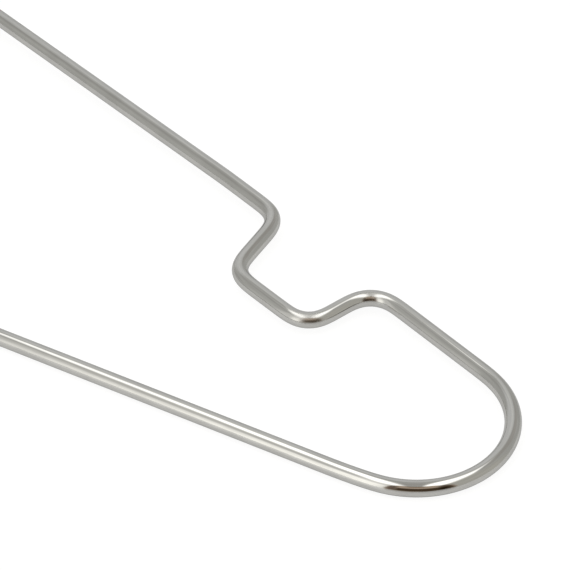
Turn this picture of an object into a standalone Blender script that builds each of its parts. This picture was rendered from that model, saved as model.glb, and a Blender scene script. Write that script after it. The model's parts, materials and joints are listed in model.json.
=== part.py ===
"""Shirt hanger: a bent steel wire frame with a strap notch in each shoulder and a swivel hook.

The hanger lies flat, as it does on a table. X runs along the bar, Y points to the hook and Z
is up. Most shapes are drawn in the hanger's own plane, whose x is the same X and whose y is
the height above the bar when the hanger hangs. The neck bush is thicker than the wire, so
the plane leans a little: the bar's underside and the bush's lower edge touch the table.
"""

from math import acos, asin, atan2, cos, degrees, hypot, pi, radians, sin, sqrt, tan

import bmesh
import bpy
from mathutils import Vector

# Wire and overall size
WIRE_DIAMETER = 0.0040
OVERALL_WIDTH = 0.430
NECK_HEIGHT = 0.1121  # from the bar's centre to where the two shoulder lines cross
SHOULDER_SLOPE_DEG = 18.0
OUTER_SHOULDER_SLOPE_DEG = 20.0
END_RADIUS = 0.0227  # of the wire's centre round each end of the bar
BAR_EASE_RADIUS = 0.150  # of the gentle curve that leads from the bar into each round end
BAR_EASE_DEG = 4.4

# Strap notch in each shoulder, followed from the neck outwards
NOTCH_DISTANCE = 0.1289  # from the neck's centre to the notch's inner wall
SHOULDER_EASE_LENGTH = 0.0190  # before the notch, where the shoulder falls a little more steeply
SHOULDER_EASE_DEG = 1.6
SHOULDER_EASE_RADIUS = 0.110
NOTCH_DEPTH = 0.0229
NOTCH_FLOOR_LENGTH = 0.0262
NOTCH_FLOOR_SLOPE_DEG = 18.6
NOTCH_OUTER_WALL_DEG = 68.5  # from the bar's direction
INNER_SHOULDER_BEND = 0.0085
NOTCH_INNER_BEND = 0.0082
NOTCH_OUTER_BEND = 0.0064
OUTER_SHOULDER_BEND = 0.0078

# Neck bush, a turned tube that the two ends of the frame are brazed to
BUSH_DIAMETER = 0.0092
BUSH_LENGTH = 0.0140
BUSH_CHAMFER = 0.0007
SEAT_GAP = 0.0003  # between pieces that touch each other
BORE_CLEARANCE = 0.0003  # on the radius, between the hook's shank and what it turns in

# Rings on the hook's shank, above and below the bush
THRUST_WASHER_DIAMETER = 0.0084
THRUST_WASHER_THICKNESS = 0.0007
COLLAR_DIAMETER = 0.0074
COLLAR_LENGTH = 0.0032
COLLAR_CHAMFER = 0.0006
RETAINING_WASHER_DIAMETER = 0.0080
RETAINING_WASHER_THICKNESS = 0.0009
WASHER_CHAMFER = 0.00015

# Hook, one wire from the peened foot to the rounded tip
HOOK_RADIUS = 0.0240  # of the wire's centre round the rail
HOOK_NECK_BEND = 0.0140
HOOK_NECK_LENGTH = 0.0110  # straight shank that shows above the collar
HOOK_TIP_DEG = 186.0  # where the hook's arc ends, counted from the +x side
FOOT_DIAMETER = 0.0062
FOOT_HEIGHT = 0.0016
FOOT_STEP = 0.00005

# Fineness of the meshes
WIRE_SIDES = 20
RING_SIDES = 40
ARC_STEP_DEG = 5.0
DOME_STEPS = 4
DOME_FLAT_DEG = 75.0  # where a rounded end stops and its small flat begins
BEND_SHARE = 0.49  # the most of a straight stretch that one bend's arc may use up
SHARP_EDGE_DEG = 35.0

WIRE_RADIUS = WIRE_DIAMETER / 2
BUSH_RADIUS = BUSH_DIAMETER / 2
BORE_DIAMETER = WIRE_DIAMETER + 2 * BORE_CLEARANCE
BUSH_MIDDLE = NECK_HEIGHT - BUSH_RADIUS * tan(radians(SHOULDER_SLOPE_DEG))
HOOK_NECK_START = (
    BUSH_LENGTH / 2 + SEAT_GAP + THRUST_WASHER_THICKNESS + SEAT_GAP + COLLAR_LENGTH + HOOK_NECK_LENGTH
)
HOOK_CENTRE = HOOK_NECK_START + sqrt(HOOK_RADIUS**2 + 2 * HOOK_RADIUS * HOOK_NECK_BEND)
HANGER_TOP = BUSH_MIDDLE + HOOK_CENTRE + HOOK_RADIUS


def clear_scene():
    """Remove every object, so that the file holds this part alone."""
    for item in list(bpy.data.objects):
        bpy.data.objects.remove(item, do_unlink=True)


def metal(name, colour, roughness):
    """A bare metal finish."""
    finish = bpy.data.materials.new(name)
    finish.use_nodes = True
    shader = finish.node_tree.nodes["Principled BSDF"]
    shader.inputs["Base Color"].default_value = (*colour, 1.0)
    shader.inputs["Metallic"].default_value = 1.0
    shader.inputs["Roughness"].default_value = roughness
    return finish


def empty(name, parent=None, location=(0.0, 0.0, 0.0), lean=0.0):
    """An empty that carries pieces, leaning about X by an angle in radians."""
    frame = bpy.data.objects.new(name, None)
    frame.parent = parent
    frame.location = location
    frame.rotation_euler = (lean, 0.0, 0.0)
    bpy.context.collection.objects.link(frame)
    return frame


def place(name, mesh, parent, finish=None):
    """Put a mesh into the scene under its parent."""
    if finish:
        mesh.materials.append(finish)
    mesh.shade_smooth()
    mesh.set_sharp_from_angle(angle=radians(SHARP_EDGE_DEG))
    piece = bpy.data.objects.new(name, mesh)
    piece.parent = parent
    bpy.context.collection.objects.link(piece)
    return piece


def resting_lean():
    """The plane's lean when the bar and the bush's lower edge both touch the table.

    Seen from the side, the bush's lower edge is BUSH_RADIUS under the plane at the distance
    'reach' from the bar. The lean t solves
    WIRE_RADIUS + reach * sin(t) = BUSH_RADIUS * cos(t).
    """
    reach = BUSH_MIDDLE - BUSH_LENGTH / 2 + BUSH_CHAMFER
    return acos(WIRE_RADIUS / hypot(reach, BUSH_RADIUS)) - atan2(reach, BUSH_RADIUS)


def arc(centre, radius, start, turn):
    """Points on a circle, from the angle 'start' through the angle 'turn', both in radians."""
    steps = max(2, round(abs(degrees(turn)) / ARC_STEP_DEG))
    angles = [start + turn * step / steps for step in range(steps + 1)]
    return [Vector((centre.x + radius * cos(a), centre.y + radius * sin(a))) for a in angles]


def bent(corners, bends):
    """A path through 'corners' with each inner corner rounded to its radius in 'bends'.

    A bend is limited by the straight stretches beside it, so it never runs past their
    middles.
    """
    path = [corners[0]]
    for before, corner, after, radius in zip(corners, corners[1:], corners[2:], bends):
        back, ahead = before - corner, after - corner
        half_angle = back.angle(ahead) / 2
        run = min(radius / tan(half_angle), BEND_SHARE * min(back.length, ahead.length))
        radius = run * tan(half_angle)
        centre = corner + (back.normalized() + ahead.normalized()).normalized() * radius / sin(half_angle)
        first = corner + back.normalized() * run - centre
        turn = -first.angle_signed(corner + ahead.normalized() * run - centre)
        path += arc(centre, radius, atan2(first.y, first.x), turn)
    return path + [corners[-1]]


def along(angle_deg, length):
    """A step of 'length' in the direction 'angle_deg', counted from +x."""
    return Vector((length * cos(radians(angle_deg)), length * sin(radians(angle_deg))))


def half_frame_path():
    """The right half of the frame: from the neck over the shoulder and notch, round to the bar.

    The round end hands over to the bar's gentle curve where both have the same direction, so
    the two centres and that point lie on one line.
    """
    neck = Vector((0.0, NECK_HEIGHT))
    start = neck + along(-SHOULDER_SLOPE_DEG, WIRE_RADIUS)
    straight = (NOTCH_DISTANCE - SHOULDER_EASE_LENGTH) / cos(radians(SHOULDER_SLOPE_DEG))
    ease_deg = SHOULDER_SLOPE_DEG + SHOULDER_EASE_DEG
    ease_start = neck + along(-SHOULDER_SLOPE_DEG, straight)
    notch_top = ease_start + along(-ease_deg, SHOULDER_EASE_LENGTH / cos(radians(ease_deg)))
    notch_bottom = notch_top + along(-90.0, NOTCH_DEPTH)
    floor_end = notch_bottom + along(-NOTCH_FLOOR_SLOPE_DEG, NOTCH_FLOOR_LENGTH)

    end_x = OVERALL_WIDTH / 2 - WIRE_RADIUS - END_RADIUS
    bar_curve_centre = Vector((end_x, BAR_EASE_RADIUS)) + along(180.0, 1.0) * (
        (BAR_EASE_RADIUS - END_RADIUS) * sin(radians(BAR_EASE_DEG))
    )
    end_centre = bar_curve_centre + along(BAR_EASE_DEG - 90.0, BAR_EASE_RADIUS - END_RADIUS)
    end_start_deg = 90.0 - OUTER_SHOULDER_SLOPE_DEG
    end_start = end_centre + along(end_start_deg, END_RADIUS)

    # The notch's outer wall runs up until it meets the outer shoulder's line.
    slope = tan(radians(OUTER_SHOULDER_SLOPE_DEG))
    rise = tan(radians(NOTCH_OUTER_WALL_DEG))
    across = (end_start.y - floor_end.y + slope * (end_start.x - floor_end.x)) / (rise + slope)
    outer_top = floor_end + Vector((across, across * rise))

    bends = (SHOULDER_EASE_RADIUS, INNER_SHOULDER_BEND, NOTCH_INNER_BEND, NOTCH_OUTER_BEND, OUTER_SHOULDER_BEND)
    corners = (start, ease_start, notch_top, notch_bottom, floor_end, outer_top, end_start)
    end_turn = radians(end_start_deg + 90.0 - BAR_EASE_DEG)
    end_arc = arc(end_centre, END_RADIUS, radians(end_start_deg), -end_turn)
    bar_curve = arc(bar_curve_centre, BAR_EASE_RADIUS, radians(BAR_EASE_DEG - 90.0), -radians(BAR_EASE_DEG))
    return bent(corners, bends)[:-1] + end_arc + bar_curve[1:]


def tube(name, path, radii):
    """A closed round tube along a path in the plane, as a mesh, with a radius at each point."""
    curve = bpy.data.curves.new(name + "_path", "CURVE")
    curve.dimensions = "3D"
    curve.twist_mode = "Z_UP"
    curve.bevel_depth = WIRE_RADIUS
    curve.bevel_resolution = WIRE_SIDES // 2 - 2
    curve.use_fill_caps = True
    spline = curve.splines.new("POLY")
    spline.points.add(len(path) - 1)
    for point, place_in_plane, radius in zip(spline.points, path, radii):
        point.co = (place_in_plane.x, place_in_plane.y, 0.0, 1.0)
        point.radius = radius / WIRE_RADIUS
    drawn = bpy.data.objects.new(name + "_drawn", curve)
    bpy.context.collection.objects.link(drawn)
    mesh = bpy.data.meshes.new_from_object(drawn.evaluated_get(bpy.context.evaluated_depsgraph_get()))
    bpy.data.objects.remove(drawn)
    bpy.data.curves.remove(curve)
    return mesh


def turned(name, outer_diameter, length, chamfer, bore_diameter=None):
    """A turned ring or plug, as a mesh whose axis is Z and whose middle is at the origin.

    The profile is a rectangle with its two outer corners chamfered. With a bore it starts at
    the bore's wall, and without one it starts on the axis.
    """
    outer, half = outer_diameter / 2, length / 2
    inner = bore_diameter / 2 if bore_diameter else 0.0
    profile = [
        (inner, half),
        (outer - chamfer, half),
        (outer, half - chamfer),
        (outer, chamfer - half),
        (outer - chamfer, -half),
        (inner, -half),
    ]
    sketch = bmesh.new()
    corners = [sketch.verts.new((x, 0.0, z)) for x, z in profile]
    lines = [sketch.edges.new(pair) for pair in zip(corners, corners[1:])]
    if bore_diameter:
        lines.append(sketch.edges.new((corners[-1], corners[0])))
    bmesh.ops.spin(
        sketch,
        geom=corners + lines,
        cent=(0.0, 0.0, 0.0),
        axis=(0.0, 0.0, 1.0),
        angle=2 * pi,
        steps=RING_SIDES,
    )
    bmesh.ops.remove_doubles(sketch, verts=sketch.verts[:], dist=WASHER_CHAMFER / 10)
    bmesh.ops.recalc_face_normals(sketch, faces=sketch.faces[:])
    mesh = bpy.data.meshes.new(name)
    sketch.to_mesh(mesh)
    sketch.free()
    return mesh


def on_shank(piece, height):
    """Turn a lathe-made piece so that its axis lies along the shank, at a height from the bush."""
    piece.location = (0.0, height, 0.0)
    piece.rotation_euler = (-pi / 2, 0.0, 0.0)


def dome(base, direction, radius, height):
    """The points and radii of a rounded end, from its full radius to its small flat."""
    angles = [radians(DOME_FLAT_DEG) * step / DOME_STEPS for step in range(1, DOME_STEPS + 1)]
    return [base + direction * height * sin(a) for a in angles], [radius * cos(a) for a in angles]


def build_frame_wire(hanger, neck, finish):
    """The frame: one wire from the bush, round both shoulders and the bar, back to the bush."""
    right = half_frame_path()
    left = [Vector((-point.x, point.y)) for point in reversed(right)]
    path = right + left
    wire = place("frame_wire", tube("frame_wire", path, [WIRE_RADIUS] * len(path)), hanger, finish)

    # Each end is cut to the bush's round, with the gap of a seat.
    cutter_mesh = turned(
        "bush_seat_cutter", BUSH_DIAMETER + 2 * SEAT_GAP, BUSH_LENGTH + 4 * WIRE_DIAMETER, WASHER_CHAMFER
    )
    cutter = place("bush_seat_cutter", cutter_mesh, neck)
    on_shank(cutter, 0.0)
    cutter.hide_render = True
    cutter.display_type = "WIRE"
    cut = wire.modifiers.new("bush_seat", "BOOLEAN")
    cut.operation = "DIFFERENCE"
    cut.solver = "EXACT"
    cut.object = cutter


def build_neck_bush(neck, finish):
    """The tube in which the hook turns."""
    mesh = turned("neck_bush", BUSH_DIAMETER, BUSH_LENGTH, BUSH_CHAMFER, BORE_DIAMETER)
    on_shank(place("neck_bush", mesh, neck, finish), 0.0)


def build_hook(swivel, finish):
    """The hook: a foot peened over under its washer, a shank, a neck bend and an open arc.

    The neck bend and the main arc touch where the line between their centres crosses them,
    which gives the angle at which one hands over to the other.
    """
    foot_top = -(BUSH_LENGTH / 2 + SEAT_GAP + RETAINING_WASHER_THICKNESS + SEAT_GAP)
    foot_middle = Vector((0.0, foot_top - FOOT_HEIGHT / 2))
    down, up = Vector((0.0, -1.0)), Vector((0.0, 1.0))
    foot, foot_radii = dome(foot_middle, down, FOOT_DIAMETER / 2, FOOT_HEIGHT / 2)
    path = foot[::-1] + [foot_middle, foot_middle + up * FOOT_HEIGHT / 2]
    radii = foot_radii[::-1] + [FOOT_DIAMETER / 2] * 2

    neck_centre = Vector((HOOK_NECK_BEND, HOOK_NECK_START))
    arc_centre = Vector((0.0, HOOK_CENTRE))
    handover = asin((HOOK_CENTRE - HOOK_NECK_START) / (HOOK_RADIUS + HOOK_NECK_BEND))
    neck_bend = arc(neck_centre, HOOK_NECK_BEND, pi, -handover)
    main_arc = arc(arc_centre, HOOK_RADIUS, -handover, handover + radians(HOOK_TIP_DEG))
    wire = [Vector((0.0, foot_top + FOOT_STEP))] + neck_bend + main_arc[1:]
    path += wire
    radii += [WIRE_RADIUS] * len(wire)

    tip, tip_radii = dome(main_arc[-1], along(HOOK_TIP_DEG + 90.0, 1.0), WIRE_RADIUS, WIRE_RADIUS)
    place("hook", tube("hook", path + tip, radii + tip_radii), swivel, finish)


def build_shank_rings(swivel, collar_finish, washer_finish):
    """The collar and its washer above the bush, and the washer between the bush and the foot."""
    bush_end = BUSH_LENGTH / 2
    washer_height = bush_end + SEAT_GAP + THRUST_WASHER_THICKNESS / 2
    collar_height = bush_end + 2 * SEAT_GAP + THRUST_WASHER_THICKNESS + COLLAR_LENGTH / 2
    retaining_height = -(bush_end + SEAT_GAP + RETAINING_WASHER_THICKNESS / 2)
    rings = (
        (
            "thrust_washer",
            THRUST_WASHER_DIAMETER,
            THRUST_WASHER_THICKNESS,
            WASHER_CHAMFER,
            washer_height,
            washer_finish,
        ),
        ("stop_collar", COLLAR_DIAMETER, COLLAR_LENGTH, COLLAR_CHAMFER, collar_height, collar_finish),
        (
            "retaining_washer",
            RETAINING_WASHER_DIAMETER,
            RETAINING_WASHER_THICKNESS,
            WASHER_CHAMFER,
            retaining_height,
            washer_finish,
        ),
    )
    for name, diameter, length, chamfer, height, finish in rings:
        on_shank(place(name, turned(name, diameter, length, chamfer, BORE_DIAMETER), swivel, finish), height)


def main():
    """Build the hanger lying on the table, with the origin under the middle of its outline."""
    clear_scene()
    lean = resting_lean()
    middle = HANGER_TOP * cos(lean) / 2
    polished_wire = metal("polished_wire", (0.56, 0.55, 0.53), 0.05)
    turned_steel = metal("turned_steel", (0.56, 0.55, 0.53), 0.12)
    washer_steel = metal("washer_steel", (0.52, 0.52, 0.51), 0.25)

    hanger = empty("hanger_plane", location=(0.0, -middle, WIRE_RADIUS), lean=lean)
    neck = empty("neck_axis", hanger, (0.0, BUSH_MIDDLE, 0.0))
    swivel = empty("swivel_axis", hanger, (0.0, BUSH_MIDDLE, 0.0))
    build_frame_wire(hanger, neck, polished_wire)
    build_neck_bush(neck, turned_steel)
    build_hook(swivel, polished_wire)
    build_shank_rings(swivel, turned_steel, washer_steel)


main()
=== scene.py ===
"""The looks of the shirt hanger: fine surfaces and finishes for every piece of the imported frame.

The hanger lies flat on a pale floor inside a light tent, seen from the photograph's angle.
Shapes are drawn in the hanger's own plane (x along the bar, y up the neck, z out of the
plane) and carried into the row's frame by HangerPlane, which reads the plane's lean and place
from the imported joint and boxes.
"""

import json
import logging
from dataclasses import dataclass
from enum import Enum

import bpy
import numpy as np
from mathutils import Matrix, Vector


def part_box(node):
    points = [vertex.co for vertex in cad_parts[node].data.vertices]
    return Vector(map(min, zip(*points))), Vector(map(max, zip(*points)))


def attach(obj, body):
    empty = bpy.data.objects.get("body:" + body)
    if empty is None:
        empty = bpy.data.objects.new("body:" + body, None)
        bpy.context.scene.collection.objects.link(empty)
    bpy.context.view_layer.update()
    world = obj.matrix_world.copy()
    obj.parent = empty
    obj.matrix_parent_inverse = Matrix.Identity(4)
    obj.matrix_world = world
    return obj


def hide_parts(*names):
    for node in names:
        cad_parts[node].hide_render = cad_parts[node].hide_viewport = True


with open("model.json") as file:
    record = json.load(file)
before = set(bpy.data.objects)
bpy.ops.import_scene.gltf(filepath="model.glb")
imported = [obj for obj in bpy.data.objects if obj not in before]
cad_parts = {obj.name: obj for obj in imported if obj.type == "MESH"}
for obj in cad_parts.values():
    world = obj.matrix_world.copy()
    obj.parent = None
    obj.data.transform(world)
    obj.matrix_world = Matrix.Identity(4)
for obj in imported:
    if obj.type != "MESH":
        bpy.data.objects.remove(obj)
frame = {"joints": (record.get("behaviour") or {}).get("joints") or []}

log = logging.getLogger("shirt_hanger")

UNBENT = "unbent"  # attribute with each point's place on the wire or lathe before bending or placing
BENT = "bent"  # attribute with how tightly the wire is bent at each point, from 0 to 1
FULL_TURN = 2.0 * np.pi
QUARTER_TURN = np.pi / 2.0
ARC_POINTS = 60
CORNER_POINTS = 9  # on each rounded corner of a turned ring

Socket = bpy.types.NodeSocket
Material = bpy.types.Material
SceneObject = bpy.types.Object


class Body(Enum):
    """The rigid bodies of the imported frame."""

    FRAME = "frame"
    SWIVEL_HOOK = "swivel_hook"


class End(Enum):
    """How one end of a tube is finished."""

    DOME = "dome"
    FLAT = "flat"


@dataclass(frozen=True)
class HangerPlane:
    """The plane that the bent wire lies in, as a place and three directions in the row's frame.

    Args:
        origin: The bar's centre under the neck, in metres.
        lean: The plane's turn about X, in radians.
    """

    origin: np.ndarray
    lean: float

    @classmethod
    def from_frame(cls, wire_radius: float) -> "HangerPlane":
        """Read the plane from the swivel's axis and the frame wire's box.

        Args:
            wire_radius: The wire's radius, which is also the bar's height over the floor.

        Returns:
            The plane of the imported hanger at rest.
        """
        axis = np.array(frame["joints"][0]["axis"], float)
        lowest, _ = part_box("frame_wire")
        origin = np.array((0.0, lowest.y + wire_radius, wire_radius))
        return cls(origin, float(np.arctan2(axis[2], axis[1])))

    @property
    def basis(self) -> np.ndarray:
        """The plane's x, y and z directions, as the rows of a 3 by 3 array."""
        c, s = np.cos(self.lean), np.sin(self.lean)
        return np.array(((1.0, 0.0, 0.0), (0.0, c, s), (0.0, -s, c)))

    def to_row(self, points: np.ndarray) -> np.ndarray:
        """Carry points from the plane's x, y and z to the row's frame: origin + x*X + y*Y + z*Z."""
        return self.origin + points @ self.basis


def in_scene(name: str, data: bpy.types.ID) -> SceneObject:
    """Put a mesh or camera in the scene.

    Args:
        name: The new object's name.
        data: The mesh or camera.

    Returns:
        The object.
    """
    made = bpy.data.objects.new(name, data)
    bpy.context.collection.objects.link(made)
    return made


def signed_volume(rings: np.ndarray) -> float:
    """Six times the volume inside a grid that closes on itself both ways.

    Args:
        rings: The grid's points.

    Returns:
        The volume, positive if the grid's faces point out.
    """
    beside, ahead = np.roll(rings, -1, axis=1), np.roll(rings, -1, axis=0)
    across = np.roll(ahead, -1, axis=1)
    return float((np.cross(rings, beside) * across).sum() + (np.cross(rings, across) * ahead).sum())


@dataclass
class Surface:
    """A grid of points on a closed piece, ready to become a mesh.

    Args:
        rings: The points, as an array of rings, points in a ring, and 3.
        unbent: Each point's place before bending or placing, in the same shape.
        loops_back: True if the last ring joins the first, and False if poles close both ends.
        bent: How tightly each ring of a wire is bent, from 0 to 1, or None for turned pieces.
    """

    rings: np.ndarray
    unbent: np.ndarray
    loops_back: bool
    bent: np.ndarray | None = None

    def quads(self) -> np.ndarray:
        """The faces between neighbouring rings.

        Returns:
            The four corners of each, wound to face out.
        """
        count, around = self.rings.shape[:2]
        rows = np.arange(count if self.loops_back else count - 1)[:, None]
        columns = np.arange(around)[None, :]
        after, beside = (rows + 1) % count, (columns + 1) % around
        here, there = rows * around, after * around
        corners = np.broadcast_arrays(here + columns, here + beside, there + beside, there + columns)
        return np.stack(corners, axis=-1).reshape(-1, 4)

    def caps(self) -> tuple[np.ndarray, np.ndarray]:
        """The triangles from a pole to the first ring and from a second pole to the last ring.

        Returns:
            The corners of the first ring's triangles and of the last ring's.
        """
        count, around = self.rings.shape[:2]
        here = np.arange(around)
        beside = (here + 1) % around
        first_pole, last_pole = count * around, count * around + 1
        start = np.stack((np.full(around, first_pole), beside, here), axis=-1)
        last = (count - 1) * around
        finish = np.stack((np.full(around, last_pole), last + here, last + beside), axis=-1)
        return start, finish

    def to_piece(self, name: str, finish: Material) -> SceneObject:
        """Make the mesh object, at the origin, with its unbent places and a UV map.

        The UV map runs along the piece in u and around it in v, both in metres.

        Args:
            name: The piece's name.
            finish: Its material.

        Returns:
            The new object.
        """
        points, unbent = self.rings.reshape(-1, 3), self.unbent.reshape(-1, 3)
        quads = self.quads()
        if self.loops_back:
            if signed_volume(self.rings) < 0.0:
                quads = quads[:, ::-1]
            corners, sizes = quads.ravel(), np.full(len(quads), 4)
        else:
            poles = np.stack((self.rings[0].mean(0), self.rings[-1].mean(0)))
            points = np.concatenate((points, poles))
            unbent = np.concatenate((unbent, np.stack((self.unbent[0].mean(0), self.unbent[-1].mean(0)))))
            start, end = self.caps()
            corners = np.concatenate((quads.ravel(), start.ravel(), end.ravel()))
            sizes = np.concatenate((np.full(len(quads), 4), np.full(len(start) + len(end), 3)))

        mesh = bpy.data.meshes.new(name)
        mesh.vertices.add(len(points))
        mesh.vertices.foreach_set("co", points.astype(np.float32).ravel())
        mesh.loops.add(len(corners))
        mesh.loops.foreach_set("vertex_index", corners.astype(np.int32))
        mesh.polygons.add(len(sizes))
        mesh.polygons.foreach_set("loop_start", (np.cumsum(sizes) - sizes).astype(np.int32))
        mesh.update(calc_edges=True)
        mesh.shade_smooth()

        places = mesh.attributes.new(UNBENT, "FLOAT_VECTOR", "POINT")
        places.data.foreach_set("vector", unbent.astype(np.float32).ravel())
        if self.bent is not None:
            bent = np.append(np.repeat(self.bent, self.rings.shape[1]), (0.0, 0.0))
            mesh.attributes.new(BENT, "FLOAT", "POINT").data.foreach_set("value", bent.astype(np.float32))
        around = np.arctan2(unbent[:, 1], unbent[:, 0]) * np.hypot(unbent[:, 0], unbent[:, 1])
        flat = np.stack((unbent[:, 2], around), axis=-1)[corners]
        mesh.uv_layers.new(name="along").data.foreach_set("uv", flat.astype(np.float32).ravel())

        mesh.materials.append(finish)
        return in_scene(name, mesh)


def length_along(line: np.ndarray) -> np.ndarray:
    """The distance along a line up to each of its points."""
    return np.concatenate(((0.0,), np.cumsum(np.linalg.norm(np.diff(line, axis=0), axis=1))))


def points_at(distances: np.ndarray, length: np.ndarray, line: np.ndarray) -> np.ndarray:
    """The points at some distances along a line, given the length up to each of its own points."""
    return np.stack([np.interp(distances, length, line[:, k]) for k in (0, 1)], axis=-1)


@dataclass(frozen=True)
class BentPath:
    """A bent wire's centre line in the hanger's plane, sampled closely where it bends.

    Args:
        points: The stations, as x and y in metres.
        along: The length of wire up to each station.
        bend: How tightly the wire bends there, as one over the radius in metres.
    """

    points: np.ndarray
    along: np.ndarray
    bend: np.ndarray

    FINE_STEP = 0.0001
    EASE = 0.0021  # how far each bend eases into the straight beside it
    EASE_REACH = 4  # how many times EASE the average reaches to either side
    BENT_STEP = 0.00045
    STRAIGHT_STEP = 0.0030
    BEND_SPREAD = 0.0015  # how far to either side of a bend the stations stay close
    SLIGHTEST_BEND = 1.0  # one over the radius above which wire counts as bent

    @classmethod
    def through(cls, line: np.ndarray) -> "BentPath":
        """Ease and resample a line of straight runs and arcs.

        The line is resampled evenly, and each point is replaced by the average of its
        neighbours under a bell curve of width EASE, so that curvature grows and fades
        smoothly, as in wire bent round a former. Stations then lie BENT_STEP apart in bends
        and STRAIGHT_STEP apart elsewhere. The average draws an arc of radius R in by
        EASE^2 / (2 R).

        Args:
            line: Points of straight runs and arcs, as x and y.

        Returns:
            The eased path.
        """
        length = length_along(line)
        places = np.linspace(0.0, length[-1], int(round(length[-1] / cls.FINE_STEP)) + 1)
        even = points_at(places, length, line)
        reach = int(cls.EASE_REACH * cls.EASE / cls.FINE_STEP)
        steps = np.arange(1, reach + 1)[:, None]
        before = even[0] - steps[::-1] * (even[1] - even[0])
        after = even[-1] + steps * (even[-1] - even[-2])
        weights = np.exp(-0.5 * (np.arange(-reach, reach + 1) * cls.FINE_STEP / cls.EASE) ** 2)
        weights /= weights.sum()
        padded = np.concatenate((before, even, after))
        eased = np.stack([np.convolve(padded[:, k], weights, "valid") for k in (0, 1)], axis=-1)

        heading = np.unwrap(np.arctan2(*np.gradient(eased, axis=0).T[::-1]))
        length = length_along(eased)
        bend = np.abs(np.gradient(heading, length))
        spread = int(cls.BEND_SPREAD / cls.FINE_STEP)
        bent = (bend > cls.SLIGHTEST_BEND).astype(float)
        near_bend = np.convolve(bent, np.ones(2 * spread + 1), "same") > 0.5
        density = np.where(near_bend, 1.0 / cls.BENT_STEP, 1.0 / cls.STRAIGHT_STEP)
        in_step = 0.5 * (density[1:] + density[:-1]) * np.diff(length)
        count_up_to = np.concatenate(((0.0,), np.cumsum(in_step)))
        stations = np.linspace(0.0, count_up_to[-1], int(round(count_up_to[-1])) + 1)
        at = np.interp(stations, count_up_to, length)
        return cls(points_at(at, length, eased), at, np.interp(at, length, bend))

    def headings(self) -> np.ndarray:
        """The direction of travel at each station, as unit vectors."""
        ahead = np.gradient(self.points, self.along, axis=0)
        return ahead / np.linalg.norm(ahead, axis=1, keepdims=True)


def arc(centre: np.ndarray, radius: float, start: float, turn: float) -> np.ndarray:
    """Points on a circle: centre + radius * (cos a, sin a), with a from start to start + turn."""
    angles = start + turn * np.linspace(0.0, 1.0, ARC_POINTS)
    return centre + radius * np.stack((np.cos(angles), np.sin(angles)), axis=-1)


def unit(vector: np.ndarray) -> np.ndarray:
    """The vector at length one."""
    return vector / np.linalg.norm(vector)


def towards(angle_deg: float) -> np.ndarray:
    """The unit vector at an angle from +x, in degrees."""
    return np.array((np.cos(np.radians(angle_deg)), np.sin(np.radians(angle_deg))))


def rounded(corners: list[np.ndarray], bends: tuple[float, ...]) -> np.ndarray:
    """A line through corners whose inner corners are rounded by arcs that touch both sides.

    An arc of radius R in a corner of half angle h starts R / tan(h) from the corner, and its
    centre lies R / sin(h) along the corner's middle direction.

    Args:
        corners: The line's corners.
        bends: The radius at each inner corner.

    Returns:
        The rounded line's points.
    """
    parts = [corners[0][None, :]]
    for before, corner, after, radius in zip(corners, corners[1:], corners[2:], bends):
        back, ahead = unit(before - corner), unit(after - corner)
        half_angle = np.arccos(np.clip(back @ ahead, -1.0, 1.0)) / 2.0
        centre = corner + unit(back + ahead) * radius / np.sin(half_angle)
        first = corner + back * radius / np.tan(half_angle) - centre
        last = corner + ahead * radius / np.tan(half_angle) - centre
        turn = np.arctan2(first[0] * last[1] - first[1] * last[0], first @ last)
        parts.append(arc(centre, radius, np.arctan2(first[1], first[0]), turn))
    return np.concatenate(parts + [corners[-1][None, :]])


@dataclass(frozen=True)
class RoundWire:
    """Round wire that is bent to a path.

    Args:
        radius: The wire's radius.
        sides: The points around it.
        flattening: How much narrower the wire is across its plane in the tightest bends.
    """

    radius: float
    sides: int = 56
    flattening: float = 0.012

    TIGHTEST_BEND = 160.0  # one over the radius of the tightest bend

    def along_path(self, path: BentPath, plane: HangerPlane, radii: np.ndarray) -> Surface:
        """Carry the wire's round section along a path.

        A point at angle a round station s is centre(s) + r(s) * (w * cos(a) * N + sin(a) * Z),
        where N lies in the plane to the left of the path, Z points out of the plane, and w
        falls a little below 1 in tight bends.

        Args:
            path: The centre line.
            plane: The hanger's plane.
            radii: The radius at each station.

        Returns:
            The wire's surface, closed by a pole at each end.
        """
        angles = np.arange(self.sides) * FULL_TURN / self.sides
        heading = path.headings()
        left = np.stack((-heading[:, 1], heading[:, 0]), axis=-1)
        bent = np.clip(path.bend / self.TIGHTEST_BEND, 0.0, 1.0)
        narrow = 1.0 - self.flattening * bent
        across = (radii * narrow)[:, None] * np.cos(angles)
        out = radii[:, None] * np.sin(angles)
        in_plane = path.points[:, None, :] + across[:, :, None] * left[:, None, :]
        rings = plane.to_row(np.concatenate((in_plane, out[:, :, None]), axis=-1))
        straight = np.broadcast_to(path.along[:, None], across.shape)
        unbent = np.stack((across, out, straight), axis=-1)
        return Surface(rings, unbent, loops_back=False, bent=bent**2)

    def end_profile(self, along: np.ndarray, start: End, finish: End) -> np.ndarray:
        """The radius at each station, falling to a dome at the ends that have one.

        On a dome of radius R, the radius at a distance d from its tip is sqrt(R^2 - (R - d)^2).

        Args:
            along: The length of wire up to each station.
            start: How the first end is finished.
            finish: How the last end is finished.

        Returns:
            The radii.
        """
        radii = np.full(len(along), self.radius)
        for end, distance in ((start, along - along[0]), (finish, along[-1] - along)):
            if end is End.DOME:
                inside = np.clip(self.radius - distance, 0.0, self.radius)
                radii = np.minimum(radii, np.sqrt(np.maximum(self.radius**2 - inside**2, 0.0)))
        return radii


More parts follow.
